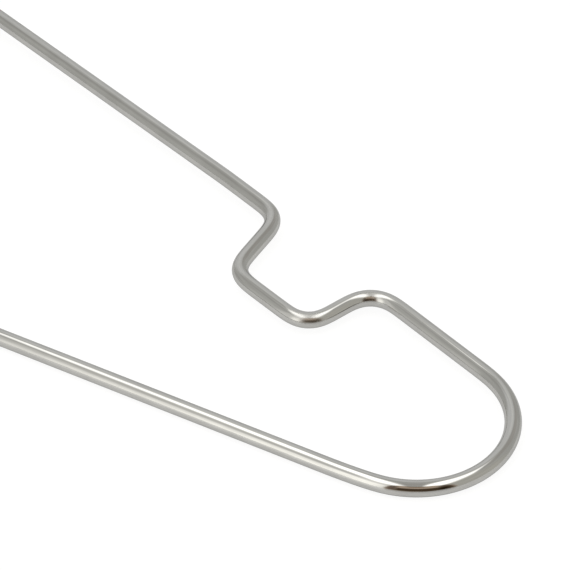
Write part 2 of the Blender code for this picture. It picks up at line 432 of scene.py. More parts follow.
@dataclass(frozen=True)
class Lathe:
    """Turned pieces on the hanger's neck axis.

    Args:
        plane: The hanger's plane, whose y direction is the neck's axis.
        sides: The points around a turned piece.
    """

    plane: HangerPlane
    sides: int = 96

    def turn(self, outline: np.ndarray) -> Surface:
        """Spin a closed outline round the neck's axis.

        A point of the outline at radius r and height h goes to (r * cos(a), h, r * sin(a)) in
        the plane's x, y and z.

        Args:
            outline: The outline's points, as radius and height over the bar's centre.

        Returns:
            The turned surface, which closes on itself.
        """
        angles = np.arange(self.sides) * FULL_TURN / self.sides
        radius, height = outline[:, :1], outline[:, 1:]
        x, z = radius * np.cos(angles), radius * np.sin(angles)
        y = np.broadcast_to(height, x.shape)
        return Surface(self.plane.to_row(np.stack((x, y, z), axis=-1)), np.stack((x, z, y), axis=-1), True)


def ring_outline(inner: float, outer: float, low: float, high: float, edge: float) -> np.ndarray:
    """The outline of a ring: a rectangle with rounded outer corners and a third of that on the inner ones.

    Args:
        inner: The bore's radius.
        outer: The ring's radius.
        low: The height of its lower face.
        high: The height of its upper face.
        edge: The radius of its outer corners.

    Returns:
        The outline's points, as radius and height.
    """
    small = edge / 3.0
    corners = (
        (outer - edge, low + edge, edge, -90.0),
        (outer - edge, high - edge, edge, 0.0),
        (inner + small, high - small, small, 90.0),
        (inner + small, low + small, small, 180.0),
    )
    parts = []
    for radius, height, bend, start in corners:
        angles = np.radians(start + np.linspace(0.0, 90.0, CORNER_POINTS))
        centre = np.array((radius, height))
        parts.append(centre + bend * np.stack((np.cos(angles), np.sin(angles)), axis=-1))
    return np.concatenate(parts)


class NodeBench:
    """A small bench for wiring the shader nodes of one material."""

    MIX_SOCKETS, MIX_RESULT = (0, 6, 7), 2  # a Mix node's inputs and output for colours
    RANGE_SOCKETS = ("Value", "From Min", "From Max", "To Min", "To Max")

    def __init__(self, name: str) -> None:
        """Start a material with no nodes.

        Args:
            name: The material's name.
        """
        self.material = bpy.data.materials.new(name)
        self.material.use_nodes = True
        self.tree = self.material.node_tree
        self.tree.nodes.clear()

    def finished(self, surface: Socket) -> Material:
        """Show the shader on the material's surface and hand the material over."""
        self.node("ShaderNodeOutputMaterial", {"Surface": surface})
        return self.material

    def node(self, kind: str, inputs: dict[int | str, object], **settings: object) -> bpy.types.Node:
        """Add a node.

        Args:
            kind: Its type's name.
            inputs: The socket or value that feeds each of its inputs, or None to leave it alone.
            settings: Its properties by name.

        Returns:
            The node.
        """
        made = self.tree.nodes.new(kind)
        for name, value in settings.items():
            setattr(made, name, value)
        for name, value in inputs.items():
            if isinstance(value, Socket):
                self.tree.links.new(value, made.inputs[name])
            elif value is not None:
                made.inputs[name].default_value = value
        return made

    def result(self, kind: str, inputs: dict[int | str, object], **settings: object) -> Socket:
        """Add a node and hand over its first output."""
        return self.node(kind, inputs, **settings).outputs[0]

    def attribute(self, name: str, output: str) -> Socket:
        """The value of one of the mesh's attributes."""
        return self.node("ShaderNodeAttribute", {}, attribute_name=name).outputs[output]

    def math(self, operation: str, *values: object) -> Socket:
        """One step of arithmetic on sockets and values."""
        return self.result("ShaderNodeMath", dict(enumerate(values)), operation=operation)

    def scaled(self, vector: Socket, scale: tuple[float, float, float]) -> Socket:
        """The vector with each part scaled."""
        return self.result("ShaderNodeMapping", {"Vector": vector, "Scale": scale}, vector_type="POINT")

    def noise(self, vector: Socket, scale: float, detail: float) -> Socket:
        """A noise value around 0.5 at each point."""
        return self.result("ShaderNodeTexNoise", {"Vector": vector, "Scale": scale, "Detail": detail})

    def remap(
        self, value: Socket, given: tuple[float, float], wanted: tuple[float, float], smooth: bool = False
    ) -> Socket:
        """Map a value from one range to another, held within it.

        Args:
            value: The value.
            given: The start and end of its range.
            wanted: What that start and end become.
            smooth: True to ease at both ends.

        Returns:
            The new value.
        """
        inputs = dict(zip(self.RANGE_SOCKETS, (value, *given, *wanted)))
        kind = "SMOOTHSTEP" if smooth else "LINEAR"
        return self.result("ShaderNodeMapRange", inputs, interpolation_type=kind)

    def mix_colour(self, share: object, first: object, second: object) -> Socket:
        """Mix two colours.

        Args:
            share: The share of the second.
            first: The first colour.
            second: The second colour.

        Returns:
            The mixed colour.
        """
        inputs = dict(zip(self.MIX_SOCKETS, (share, first, second)))
        made = self.node("ShaderNodeMix", inputs, data_type="RGBA", clamp_result=False)
        return made.outputs[self.MIX_RESULT]

    def mix_shader(self, *share_and_shaders: Socket) -> Socket:
        """Mix two shaders by a share of the second, all three given in that order."""
        return self.result("ShaderNodeMixShader", dict(enumerate(share_and_shaders)))

    def bump(self, height: Socket, distance: float, under: Socket | None = None) -> Socket:
        """Raise the surface by a height times a distance in metres, over any earlier bump."""
        return self.result("ShaderNodeBump", {"Distance": distance, "Height": height, "Normal": under})


@dataclass(frozen=True)
class MetalFinish:
    """A bare metal surface with its colour, polish and the marks of how it was made.

    Args:
        name: The material's name.
        colour: Its colour, as linear red, green and blue.
        polish: Its roughness where it is smoothest.
        haze: How much rougher it is where it is most handled.
        tone: How far its colour falls in the darkest patches, as a share.
        grain: How often the marks repeat across, around and along the piece, per metre.
        grain_depth: How deep the marks are, in metres.
        wave_length: The length of the slow waves in the surface, in metres.
        wave_depth: How deep those waves are, in metres.
        nicks: How deep small nicks and pits are, in metres.
        bend_haze: How much rougher the wire's skin is where its tightest bends stretched it.
        scuffs: How much of the marks is short scuffs beside the long lines, from 0 to 1.
        edge_tint: How bright its rim is at a grazing angle, which chromium dims, as a share.
    """

    name: str
    colour: tuple[float, float, float]
    polish: float
    haze: float
    tone: float
    grain: tuple[float, float, float]
    grain_depth: float
    wave_length: float
    wave_depth: float
    nicks: float
    bend_haze: float = 0.0
    scuffs: float = 0.0
    edge_tint: float = 0.75

    HAZE_SCALE = 120.0  # patches of haze, per metre
    NICK_SCALE = 2600.0  # nicks, per metre
    SCUFF_SHORTNESS = (0.7, 0.7, 9.0)  # how often scuffs repeat for each line: across, around, along
    LINE_OCTAVES, SCUFF_OCTAVES, HAZE_OCTAVES, WAVE_OCTAVES, NICK_OCTAVES = 3.0, 2.0, 4.0, 1.0, 2.0

    # Ranges of noise, which lies around 0.5, in which each mark grows from nothing to its full strength.
    DIM_PATCHES = (0.35, 0.7)
    DIM_MARKS = (0.44, 0.62)
    HAZY_PATCHES = (0.45, 0.75)
    HAZY_MARKS = (0.45, 0.8)
    NICKED = (0.66, 0.74)
    MARK_TONE = 0.9  # how much of the tone's fall the marks may take

    def _marks(self, bench: NodeBench, place: Socket) -> Socket:
        """Long lines from drawing or turning, with short scuffs beside them if the finish has any.

        Args:
            bench: The bench of the finish's material.
            place: The unbent place of each point.

        Returns:
            A value around 0.5.
        """
        marks = bench.noise(bench.scaled(place, self.grain), 1.0, self.LINE_OCTAVES)
        if self.scuffs > 0.0:
            grain = tuple(rate * more for rate, more in zip(self.grain, self.SCUFF_SHORTNESS))
            scuffs = bench.noise(bench.scaled(place, grain), 1.0, self.SCUFF_OCTAVES)
            from_middle = bench.math("MULTIPLY", bench.math("SUBTRACT", scuffs, 0.5), self.scuffs)
            marks = bench.math("ADD", marks, from_middle)
        return marks

    def build(self) -> Material:
        """Make the material.

        Marks are read from the unbent places, so drawing lines follow a wire round its bends
        and turning lines run round a turned piece.

        Returns:
            The material.
        """
        bench = NodeBench(self.name)
        place = bench.attribute(UNBENT, "Vector")
        marks = self._marks(bench, place)
        patches = bench.noise(place, self.HAZE_SCALE, self.HAZE_OCTAVES)
        dimmed = tuple(part * (1.0 - self.tone) for part in self.colour)
        dim_patches = bench.remap(patches, self.DIM_PATCHES, (0.0, 1.0), smooth=True)
        dim_marks = bench.remap(marks, self.DIM_MARKS, (0.0, self.MARK_TONE), smooth=True)
        tone_share = bench.math("MAXIMUM", dim_patches, dim_marks)
        colour = bench.mix_colour(tone_share, (*self.colour, 1.0), (*dimmed, 1.0))

        hazed = bench.remap(patches, self.HAZY_PATCHES, (0.0, self.haze), smooth=True)
        streaked = bench.remap(marks, self.HAZY_MARKS, (0.0, self.haze))
        smoothest = bench.math("MULTIPLY_ADD", bench.attribute(BENT, "Fac"), self.bend_haze, self.polish)
        rough = bench.math("ADD", bench.math("ADD", hazed, streaked), smoothest)

        swell = bench.noise(place, 1.0 / self.wave_length, self.WAVE_OCTAVES)
        lines = bench.bump(marks, self.grain_depth, bench.bump(swell, self.wave_depth))
        specks = bench.noise(place, self.NICK_SCALE, self.NICK_OCTAVES)
        pits = bench.remap(specks, self.NICKED, (1.0, 0.0), smooth=True)
        surface = {
            "Metallic": 1.0,
            "Specular Tint": (self.edge_tint, self.edge_tint, self.edge_tint, 1.0),
            "Base Color": colour,
            "Roughness": rough,
            "Normal": bench.bump(pits, self.nicks, lines),
        }
        return bench.finished(bench.result("ShaderNodeBsdfPrincipled", surface))


POLISHED_WIRE = MetalFinish(
    name="polished_wire",
    colour=(0.572, 0.569, 0.543),
    polish=0.036,
    haze=0.030,
    tone=0.09,
    grain=(2300.0, 2300.0, 18.0),
    grain_depth=6.0e-6,
    wave_length=0.006,
    wave_depth=12.0e-6,
    nicks=0.5e-6,
    bend_haze=0.22,
    scuffs=0.75,
)
PLATED_TURNED_STEEL = MetalFinish(
    name="plated_turned_steel",
    colour=(0.56, 0.557, 0.533),
    polish=0.060,
    haze=0.060,
    tone=0.10,
    grain=(140.0, 140.0, 9000.0),
    grain_depth=2.0e-6,
    wave_length=0.003,
    wave_depth=2.0e-6,
    nicks=0.8e-6,
)
PLATED_BRAZE = MetalFinish(
    name="plated_braze",
    colour=(0.54, 0.535, 0.508),
    polish=0.085,
    haze=0.080,
    tone=0.15,
    grain=(1500.0, 1500.0, 1500.0),
    grain_depth=6.0e-6,
    wave_length=0.0012,
    wave_depth=30.0e-6,
    nicks=2.0e-6,
)
STAMPED_WASHER_STEEL = MetalFinish(
    name="stamped_washer_steel",
    colour=(0.52, 0.518, 0.50),
    polish=0.20,
    haze=0.10,
    tone=0.18,
    grain=(3200.0, 260.0, 3200.0),
    grain_depth=4.0e-6,
    wave_length=0.002,
    wave_depth=2.0e-6,
    nicks=3.0e-6,
)


@dataclass(frozen=True)
class FrameWire:
    """The bent wire frame: shoulders, strap notches, round ends and bar in one wire.

    Every length is in metres, and the radii of ends and bends are to the wire's centre.
    """

    wire_radius: float = 0.0020
    overall_width: float = 0.430
    neck_height: float = 0.1121
    shoulder_slope_deg: float = 18.0
    outer_shoulder_slope_deg: float = 20.0
    end_radius: float = 0.0227
    bar_ease_radius: float = 0.150
    bar_ease_deg: float = 4.4
    notch_distance: float = 0.1289
    shoulder_ease_length: float = 0.0190
    shoulder_ease_deg: float = 1.6
    notch_depth: float = 0.0229
    notch_floor_length: float = 0.0264
    notch_floor_slope_deg: float = 18.8
    notch_outer_wall_deg: float = 69.8
    bends: tuple[float, ...] = (0.110, 0.0070, 0.0068, 0.0057, 0.0071)
    bush_bite: float = 0.0010  # how far the wire's end goes into the bush's wall

    def half_line(self, bush_radius: float) -> np.ndarray:
        """The right half's centre line, from inside the bush's wall round to the bar.

        The round end hands over to the bar's gentle curve where both have the same direction,
        so the two centres and that point lie on one line.

        Args:
            bush_radius: The radius of the bush that the wire ends at.

        Returns:
            The line's points, as x and y.
        """
        neck = np.array((0.0, self.neck_height))
        slope = np.radians(self.shoulder_slope_deg)
        ease_slope = slope + np.radians(self.shoulder_ease_deg)
        down_shoulder, down_ease = towards(-self.shoulder_slope_deg), towards(-np.degrees(ease_slope))
        start = neck + down_shoulder * (bush_radius - self.bush_bite) / np.cos(slope)
        before_ease = self.notch_distance - self.shoulder_ease_length
        ease_start = neck + down_shoulder * before_ease / np.cos(slope)
        notch_top = ease_start + down_ease * self.shoulder_ease_length / np.cos(ease_slope)
        notch_bottom = notch_top + towards(-90.0) * self.notch_depth
        floor_end = notch_bottom + towards(-self.notch_floor_slope_deg) * self.notch_floor_length

        ease = np.radians(self.bar_ease_deg)
        between = self.bar_ease_radius - self.end_radius
        drawn_in = BentPath.EASE**2 / (2.0 * self.end_radius)
        end_x = self.overall_width / 2.0 - self.wire_radius - self.end_radius + drawn_in
        bar_curve_centre = np.array((end_x - between * np.sin(ease), self.bar_ease_radius))
        end_centre = bar_curve_centre + towards(self.bar_ease_deg - 90.0) * between
        end_start_deg = 90.0 - self.outer_shoulder_slope_deg
        end_start = end_centre + towards(end_start_deg) * self.end_radius
        wall, shoulder = towards(self.notch_outer_wall_deg), towards(180.0 - self.outer_shoulder_slope_deg)
        climb, _ = np.linalg.solve(np.stack((wall, -shoulder), axis=-1), end_start - floor_end)
        wall_top = floor_end + wall * climb
        corners = [start, ease_start, notch_top, notch_bottom, floor_end, wall_top, end_start]
        end_turn = np.radians(end_start_deg + 90.0) - ease
        round_end = arc(end_centre, self.end_radius, np.radians(end_start_deg), -end_turn)
        bar_curve = arc(bar_curve_centre, self.bar_ease_radius, ease - QUARTER_TURN, -ease)
        return np.concatenate((rounded(corners, self.bends)[:-1], round_end, bar_curve[1:]))

    def build(self, plane: HangerPlane, bush_radius: float, finish: Material) -> SceneObject:
        """Make the frame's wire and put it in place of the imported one.

        Args:
            plane: The hanger's plane.
            bush_radius: The radius of the bush that the wire ends at.
            finish: The wire's material.

        Returns:
            The new piece.
        """
        right = self.half_line(bush_radius)
        path = BentPath.through(np.concatenate((right, right[::-1] * (-1.0, 1.0))))
        wire = RoundWire(self.wire_radius)
        radii = wire.end_profile(path.along, End.FLAT, End.FLAT)
        piece = wire.along_path(path, plane, radii).to_piece("frame_wire_surface", finish)
        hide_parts("frame_wire")
        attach(piece, Body.FRAME.value)
        return piece


@dataclass(frozen=True)
class NeckBush:
    """The turned tube at the neck, with the braze that holds the frame's two ends to it.

    Args:
        plane: The hanger's plane.
        shape: The frame's wire.
    """

    plane: HangerPlane
    shape: FrameWire
    radius: float = 0.0046
    length: float = 0.0140
    edge: float = 0.0007
    bore_radius: float = 0.0023
    braze_run: float = 0.0011  # how far the braze climbs the wire and the bush
    braze_bite: float = 0.0001  # how far it reaches into both

    BRAZE_SIDES = 64
    BRAZE_STEPS = 14  # along the fillet's hollow
    BRAZE_ROOT = 3.0  # how many bites deep its hidden root lies in the bush
    BRAZE_SWELLS = ((0.10, 2.0, 1.0), (0.06, 5.0, 2.0))  # share of the run, waves round the wire, shift

    @property
    def middle(self) -> float:
        """The bush's middle height, where the shoulders' centre lines reach its surface."""
        return self.shape.neck_height - self.radius * np.tan(np.radians(self.shape.shoulder_slope_deg))

    def build(self, finish: Material) -> SceneObject:
        """Make the bush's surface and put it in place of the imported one.

        Args:
            finish: Its material.

        Returns:
            The new piece.
        """
        low, high = self.middle - self.length / 2.0, self.middle + self.length / 2.0
        outline = ring_outline(self.bore_radius, self.radius, low, high, self.edge)
        piece = Lathe(self.plane).turn(outline).to_piece("neck_bush_surface", finish)
        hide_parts("neck_bush")
        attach(piece, Body.FRAME.value)
        return piece

    def braze(self, side: float, name: str, finish: Material) -> SceneObject:
        """Make the hollow fillet of braze round one end of the frame's wire.

        At a distance q from the bush's surface the fillet stands r + f - sqrt(f^2 - (f - q)^2)
        from the wire's axis, where r is the wire's radius and f the fillet's run, which swells
        and shrinks a little round the wire. The bush's surface lies sqrt(R^2 - w^2) from the
        neck's axis, w being the distance out of the plane.

        Args:
            side: 1.0 for the right end and -1.0 for the left.
            name: The piece's name.
            finish: Its material.

        Returns:
            The new piece.
        """
        angles = np.arange(self.BRAZE_SIDES) * FULL_TURN / self.BRAZE_SIDES
        share = np.linspace(1.0, 0.0, self.BRAZE_STEPS)[:, None]
        swells = [part * np.sin(waves * angles + shift * side) for part, waves, shift in self.BRAZE_SWELLS]
        run = self.braze_run * (1.0 + swells[0] + swells[1])
        reach = run * (1.0 - np.cos(share * QUARTER_TURN))
        stand = self.shape.wire_radius + run - np.sqrt(np.maximum(run**2 - (run - reach) ** 2, 0.0))
        inner = np.full((1, len(angles)), self.shape.wire_radius - self.braze_bite)
        stand = np.concatenate((stand, inner, inner))
        reach = np.concatenate((reach, np.full_like(inner, -self.BRAZE_ROOT * self.braze_bite), reach[:1]))

        slope = np.radians(self.shape.shoulder_slope_deg)
        up, out = stand * np.cos(angles), stand * np.sin(angles)
        from_axis = np.sqrt(self.radius**2 - out**2) - self.braze_bite + reach
        down_wire = (from_axis - up * np.sin(slope)) / np.cos(slope)
        x = down_wire * np.cos(slope) + up * np.sin(slope)
        y = self.shape.neck_height - down_wire * np.sin(slope) + up * np.cos(slope)
        points = self.plane.to_row(np.stack((side * x, y, out), axis=-1))
        surface = Surface(points, np.stack((up, out, down_wire), axis=-1), True)
        piece = surface.to_piece(name, finish)
        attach(piece, Body.FRAME.value)
        return piece


@dataclass(frozen=True)
class SwivelHook:
    """The hook's wire with its peened foot, and the rings on its shank.

    Args:
        bush: The bush that the hook turns in.
    """

    bush: NeckBush
    hook_radius: float = 0.0240
    neck_bend: float = 0.0140
    neck_length: float = 0.0110
    tip_deg: float = 186.0
    foot_radius: float = 0.0031
    foot_height: float = 0.0016
    seat_gap: float = 0.0003
    washer_radius: float = 0.0042
    washer_thickness: float = 0.0007
    collar_radius: float = 0.0037
    collar_length: float = 0.0032
    collar_edge: float = 0.0006
    retaining_radius: float = 0.0040
    retaining_thickness: float = 0.0009
    washer_edge: float = 0.00015

    TIP_STEPS = 22
    FOOT_STEPS = 24  # in each half of the foot

    @property
    def wire_radius(self) -> float:
        """The radius of the hook's wire, which is the frame's."""
        return self.bush.shape.wire_radius

    @property
    def neck_start(self) -> float:
        """How far over the bush's middle the shank starts to bend."""
        rings = self.seat_gap + self.washer_thickness + self.seat_gap + self.collar_length
        return self.bush.length / 2.0 + rings + self.neck_length

    @property
    def foot_top(self) -> float:
        """The height of the foot's upper face from the bush's middle."""
        return -(self.bush.length / 2.0 + self.seat_gap + self.retaining_thickness + self.seat_gap)

    def line(self) -> np.ndarray:
        """The hook's centre line from the foot's underside to the tip, over the bush's middle.

        The neck's bend and the hook's arc touch where the line between their centres crosses
        both, so the arc's centre stands sqrt(R^2 + 2 R B) over the neck's start, with R the
        hook's radius and B the bend's.

        Returns:
            The line's points, as x and y.
        """
        rise = np.sqrt(self.hook_radius**2 + 2.0 * self.hook_radius * self.neck_bend)
        handover = np.arcsin(rise / (self.hook_radius + self.neck_bend))
        neck = arc(np.array((self.neck_bend, self.neck_start)), self.neck_bend, np.pi, -handover)
        centre = np.array((0.0, self.neck_start + rise))
        main = arc(centre, self.hook_radius, -handover, handover + np.radians(self.tip_deg))
        foot = np.array(((0.0, self.foot_top - self.foot_height),))
        tip = main[-1:] + towards(self.tip_deg + 90.0) * self.wire_radius
        return np.concatenate((foot, neck, main[1:], tip))

    def build_hook(self, finish: Material) -> SceneObject:
        """Make the hook's wire: a peened foot, the shank, the open arc and a domed tip.

        The foot is a flattened ball: at a distance d from its middle its radius is
        F * (1 - (d / h)^4)^(1/4), with h half its height. Over its middle it is nowhere thinner
        than the wire that it grows from.

        Args:
            finish: The hook's material.

        Returns:
            The new piece.
        """
        path = self._with_fine_ends(BentPath.through(self.line() + (0.0, self.bush.middle)))
        wire = RoundWire(self.wire_radius)
        radii = wire.end_profile(path.along, End.FLAT, End.DOME)
        half = self.foot_height / 2.0
        from_middle = np.abs(path.along - half) / half
        foot = self.foot_radius * np.clip(1.0 - from_middle**4, 0.0, None) ** 0.25
        radii = np.where(path.along < self.foot_height, foot, radii)
        above_middle = (path.along > half) & (path.along <= self.foot_height)
        radii = np.where(above_middle, np.maximum(radii, self.wire_radius), radii)
        piece = wire.along_path(path, self.bush.plane, radii).to_piece("hook_surface", finish)
        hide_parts("hook")
        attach(piece, Body.SWIVEL_HOOK.value)
        return piece

    def _with_fine_ends(self, path: BentPath) -> BentPath:
        """Add stations in the foot and the tip, closest together where the radius changes most.

        In the foot's lower half the station of angle t lies at half its height times
        1 - sqrt(cos t), where its radius is F * sqrt(sin t). The upper half mirrors it.

        Args:
            path: The eased path of the hook's wire.

        Returns:
            The path with the new stations.
        """
        easing = 1.0 - np.cos(np.linspace(0.0, QUARTER_TURN, self.TIP_STEPS))
        share = np.linspace(0.0, 1.0, self.FOOT_STEPS)[1:]
        angle = QUARTER_TURN * share**2 * (3.0 - 2.0 * share)
        lower = 0.5 * self.foot_height * (1.0 - np.sqrt(np.clip(np.cos(angle), 0.0, 1.0)))
        foot = np.concatenate((lower, self.foot_height - lower[-2::-1]))
        tip = path.along[-1] - self.wire_radius * easing[::-1]
        middle = path.along[(path.along > foot[-1]) & (path.along < tip[0])]
        along = np.concatenate((foot, middle, tip))
        points = points_at(along, path.along, path.points)
        return BentPath(points, along, np.interp(along, path.along, path.bend))

    def build_rings(self, turned: Material, stamped: Material) -> list[SceneObject]:
        """Make the thrust washer, the collar and the retaining washer on the shank.

        Args:
            turned: The collar's material.
            stamped: The washers' material.

        Returns:
            The three pieces.
        """
        middle = self.bush.middle
        low = middle + self.bush.length / 2.0 + self.seat_gap
        high = low + self.washer_thickness
        collar_low = high + self.seat_gap
        collar_high = collar_low + self.collar_length
        under = middle - self.bush.length / 2.0 - self.seat_gap
        lowest = under - self.retaining_thickness
        rings = (
            ("thrust_washer", self.washer_radius, low, high, self.washer_edge, stamped),
            ("stop_collar", self.collar_radius, collar_low, collar_high, self.collar_edge, turned),
            ("retaining_washer", self.retaining_radius, lowest, under, self.washer_edge, stamped),
        )
        pieces = []
        for node, radius, low, high, edge, finish in rings:
            outline = ring_outline(self.bush.bore_radius, radius, low, high, edge)
            piece = Lathe(self.bush.plane).turn(outline).to_piece(node + "_surface", finish)
            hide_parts(node)
            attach(piece, Body.SWIVEL_HOOK.value)
            pieces.append(piece)
        return pieces


@dataclass(frozen=True)
class PhotoView:
    """The photograph's viewpoint, measured against the hanger's plane.

    Args:
        aim: The point of the plane in the middle of the picture, as x and y.
        azimuth_deg: The turn of the view from straight over the bar.
        elevation_deg: The height of the view over the plane.
        distance: From the aim to the camera, in metres.
        lens_mm: The focal length.
        sensor_mm: The width of the sensor behind it.
        far_clip: How far the camera sees, in metres.
    """

    aim: tuple[float, float] = (0.14208, 0.04886)
    azimuth_deg: float = 29.53
    elevation_deg: float = 41.24
    distance: float = 0.86456
    lens_mm: float = 230.22
    sensor_mm: float = 36.0
    far_clip: float = 100.0

    def place_camera(self, plane: HangerPlane) -> SceneObject:
        """Make the camera and use it for the render.

        Args:
            plane: The hanger's plane.

        Returns:
            The camera.
        """
        a, e = np.radians(self.azimuth_deg), np.radians(self.elevation_deg)
        right = np.array((np.cos(a), np.sin(a), 0.0))
        back = np.array((np.sin(a) * np.cos(e), -np.cos(a) * np.cos(e), np.sin(e)))
        axes = np.stack((right, np.cross(back, right), back)) @ plane.basis
        aim = plane.to_row(np.array((*self.aim, 0.0)))
        pose = np.eye(4)
        pose[:3, :3] = axes.T
        pose[:3, 3] = aim + axes[2] * self.distance

        lens = bpy.data.cameras.new("photo_camera")
        lens.lens = self.lens_mm
        lens.sensor_width = self.sensor_mm
        lens.clip_end = self.far_clip
        camera = in_scene("photo_camera", lens)
        camera.matrix_world = Matrix(pose.tolist())
        bpy.context.scene.camera = camera
        return camera


@dataclass(frozen=True)
class TentDirections:
    """Shader values that say which way a point of the tent lies from the hanger.

    Args:
        turn: The angle round from straight away from the camera, in degrees.
        height: The angle over the floor, in degrees.
        across: The place on a flat roof one unit up, to the camera's right.
        ahead: The place on that roof away from the camera.
    """

    turn: Socket
    height: Socket
    across: Socket
    ahead: Socket

    LOWEST_RISE = 0.01  # keeps the places on the roof finite near the floor

    @classmethod
    def read(cls, bench: NodeBench) -> "TentDirections":
        """Work them out from a point's place in the tent, whose +Y points away from the camera.

        Args:
            bench: The bench of the tent's material.

        Returns:
            The directions.
        """
        place = bench.node("ShaderNodeTexCoord", {}).outputs["Object"]
        direction = bench.result("ShaderNodeVectorMath", {0: place}, operation="NORMALIZE")
        x, y, z = bench.node("ShaderNodeSeparateXYZ", {0: direction}).outputs
        degrees = float(np.degrees(1.0))
        turn = bench.math("MULTIPLY", bench.math("ARCTAN2", x, y), degrees)
        height = bench.math("MULTIPLY", bench.math("ARCSINE", z), degrees)
        rise = bench.math("MAXIMUM", z, cls.LOWEST_RISE)
        return cls(turn, height, bench.math("DIVIDE", x, rise), bench.math("DIVIDE", y, rise))


def within(bench: NodeBench, value: Socket, low: float, high: float, soft: float) -> Socket:
    """How far a value lies between two limits.

    Args:
        bench: The bench of the tent's material.
        value: The value.
        low: The lower limit.
        high: The upper limit.
        soft: How much of the value each edge takes to fade.

    Returns:
        The share, from 0 to 1.
    """
    fade = (-soft / 2.0, soft / 2.0)
    over = bench.remap(bench.math("SUBTRACT", value, low), fade, (0.0, 1.0), smooth=True)
    under = bench.remap(bench.math("SUBTRACT", value, high), fade, (1.0, 0.0), smooth=True)
    return bench.math("MULTIPLY", over, under)


@dataclass(frozen=True)
class TentPatch:
    """One region of the light tent's wall, by its direction from the hanger.

    Args:
        colour: Its brightness, as linear red, green and blue.
        turn: The lowest and highest turn from straight away from the camera, in degrees.
        height: The lowest and highest angle over the floor, in degrees.
        soft: How many degrees its edges take to fade, round and up.
    """

    colour: tuple[float, float, float]
    turn: tuple[float, float]
    height: tuple[float, float]
    soft: tuple[float, float]

    HALF_TURN_DEG = 180.0

    def share(self, bench: NodeBench, directions: TentDirections) -> Socket:
        """How much of a direction this patch covers, from 0 to 1.

        The turn is measured from the patch's middle, either way, so a patch may lie across
        the direction of half a turn.

        Args:
            bench: The bench of the tent's material.
            directions: The direction of each point.

        Returns:
            The share.
        """
        low, high = self.turn
        middle, half = (low + high) / 2.0, (high - low) / 2.0
        from_middle = bench.math("SUBTRACT", directions.turn, middle)
        wrapped = bench.math("WRAP", from_middle, self.HALF_TURN_DEG, -self.HALF_TURN_DEG)
        in_turn = within(bench, wrapped, -half, half, self.soft[0])
        return bench.math("MULTIPLY", in_turn, within(bench, directions.height, *self.height, self.soft[1]))


@dataclass(frozen=True)
class RoofPanel:
    """A glowing panel of the tent's roof, laid out on a flat roof one unit over the floor.

    Args:
        colour: Its brightness, as linear red, green and blue.
        side: 1 for the camera's right and -1 for its left.
        across: Where it starts and ends, from the roof's middle outwards.
        ahead: Where it starts and ends, away from the camera.
        taper: How much its outer edge draws in for each unit ahead of taper_from.
        taper_from: Where the outer edge starts to draw in.
        soft: How far its inner, outer, near and far edges take to fade.
        sharpest: How far its outer edge takes to fade where it has drawn in.
    """

    colour: tuple[float, float, float]
    side: float
    across: tuple[float, float]
    ahead: tuple[float, float]
    taper: float
    taper_from: float
    soft: tuple[float, float, float, float]
    sharpest: float

    def share(self, bench: NodeBench, directions: TentDirections) -> Socket:
        """How much of a direction this panel covers, from 0 to 1.

        Args:
            bench: The bench of the tent's material.
            directions: The direction of each point.

        Returns:
            The share.
        """
        outwards = bench.math("MULTIPLY", directions.across, self.side)
        past_taper = bench.math("MAXIMUM", bench.math("SUBTRACT", directions.ahead, self.taper_from), 0.0)
        outer_edge = bench.math("SUBTRACT", self.across[1], bench.math("MULTIPLY", past_taper, self.taper))
        inner_soft, widest, near_soft, far_soft = self.soft
        outer_soft = bench.math("MAXIMUM", bench.math("SUBTRACT", widest, past_taper), self.sharpest)
        limits = (
            (outwards, self.across[0], inner_soft),
            (outer_edge, outwards, outer_soft),
            (directions.ahead, self.ahead[0], near_soft),
            (self.ahead[1], directions.ahead, far_soft),
        )
        covered: object = 1.0
        for larger, smaller, soft in limits:
            gap = bench.math("DIVIDE", bench.math("SUBTRACT", larger, smaller), soft)
            inside = bench.remap(gap, (-0.5, 0.5), (0.0, 1.0), smooth=True)
            covered = bench.math("MULTIPLY", covered, inside)
        return covered


PANEL_GLOW = (2.25, 2.23, 2.21)  # the roof panels' brightness, as linear red, green and blue


